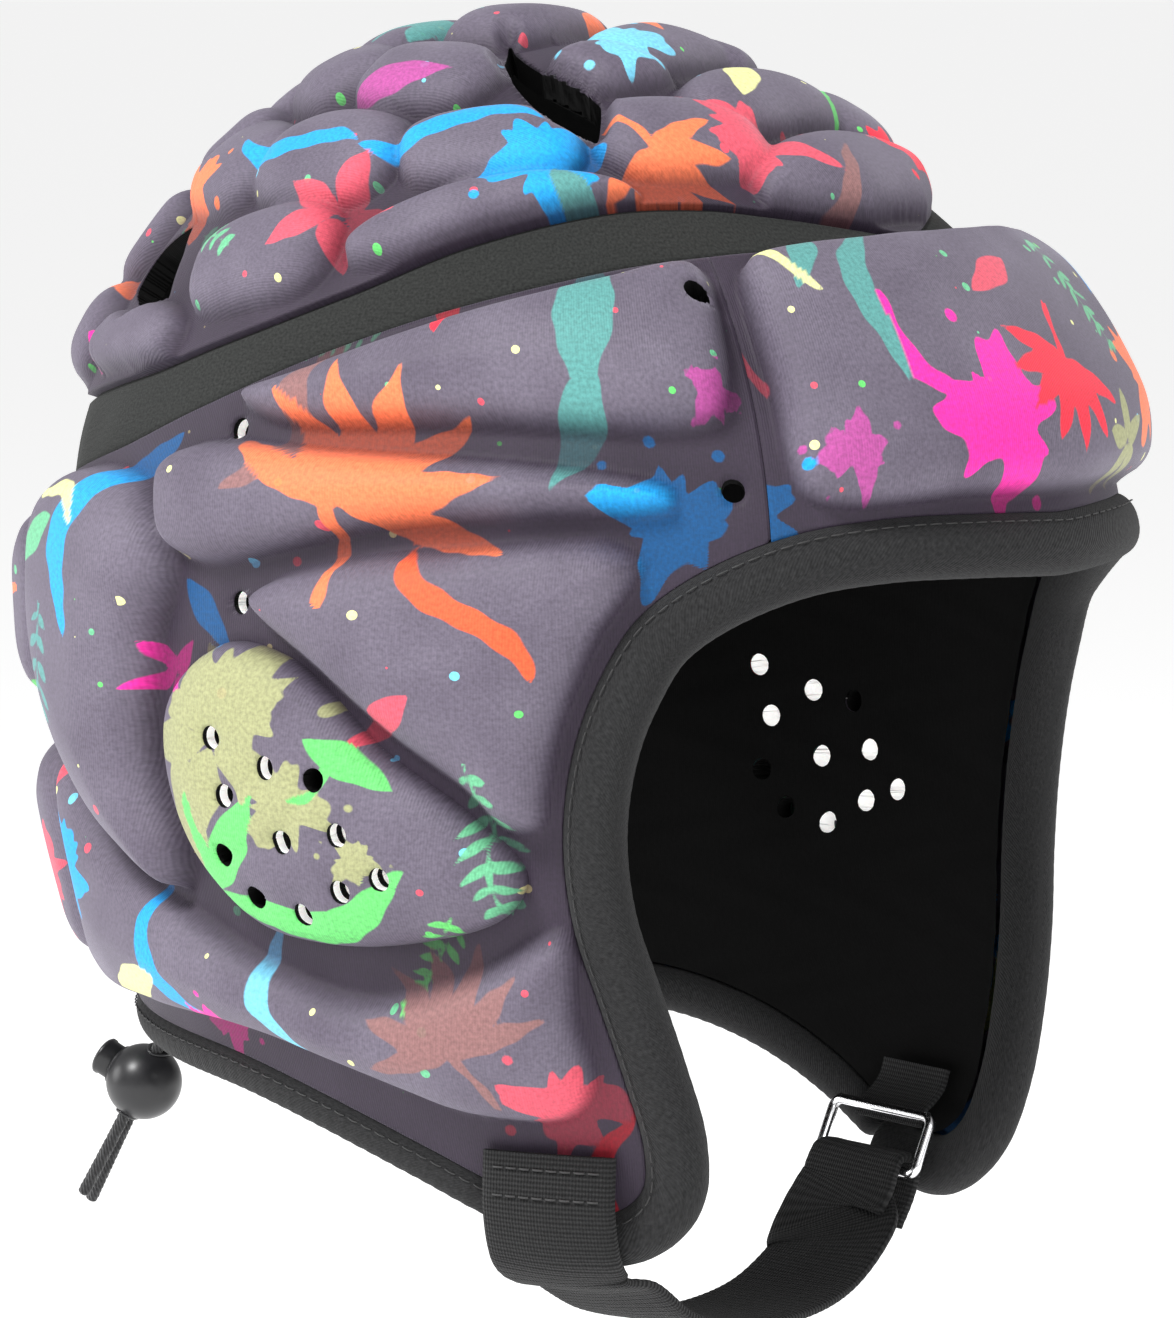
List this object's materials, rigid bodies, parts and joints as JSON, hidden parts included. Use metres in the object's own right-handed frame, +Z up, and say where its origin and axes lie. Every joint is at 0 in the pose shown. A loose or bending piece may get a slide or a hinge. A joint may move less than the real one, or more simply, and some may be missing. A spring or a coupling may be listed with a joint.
{
  "type": "scrum cap",
  "caption": "Soft padded rugby scrum cap with ear guards, quilted crown, stretch band, bound face opening, webbing chin strap through a wire ring, and a cord lock at the nape",
  "frame": {"origin": "inside of the crown of the lining, where the cap rests on a head", "axes": "+Z up, the face opening towards -Y, the wearer's right at -X"},
  "size_m": [0.1714, 0.225, 0.2388],
  "materials": {
    "printed_cloth": "smooth printed knit over foam, faint sheen",
    "lining_cloth": "matt black knit",
    "stretch_knit": "matt fine-ribbed stretch knit",
    "binding_tape": "matt knitted tape over a padded edge",
    "webbing": "ribbed woven webbing, matt",
    "bright_wire": "bright nickel plate",
    "lock_plastic": "moulded, satin",
    "button_plastic": "moulded, satin",
    "braided_cord": "round braid, matt"
  },
  "bodies": {
    "cap": {"lining": "lining_cloth", "crown_panel": "printed_cloth", "front_panel": "printed_cloth", "side_panel_right": "printed_cloth", "side_panel_left": "printed_cloth", "back_panel": "printed_cloth", "ear_pad_right": "printed_cloth", "ear_pad_left": "printed_cloth", "stretch_band": "stretch_knit", "face_binding": "binding_tape", "neck_hem_right": "binding_tape", "neck_hem_left": "binding_tape", "chin_strap": "webbing", "strap_ring": "bright_wire", "ring_tab": "webbing", "cord_strand_a": "braided_cord", "cord_strand_b": "braided_cord", "cord_lock_body": "lock_plastic"},
    "button": {"cord_lock_button": "button_plastic"}
  },
  "joints": [
    {"name": "button_press", "type": "slide", "parent": "cap", "child": "button", "axis": [0.2102, -0.861, -0.4632], "range_m": [0, 0.002], "stiffness_N_per_m": 800}
  ]
}
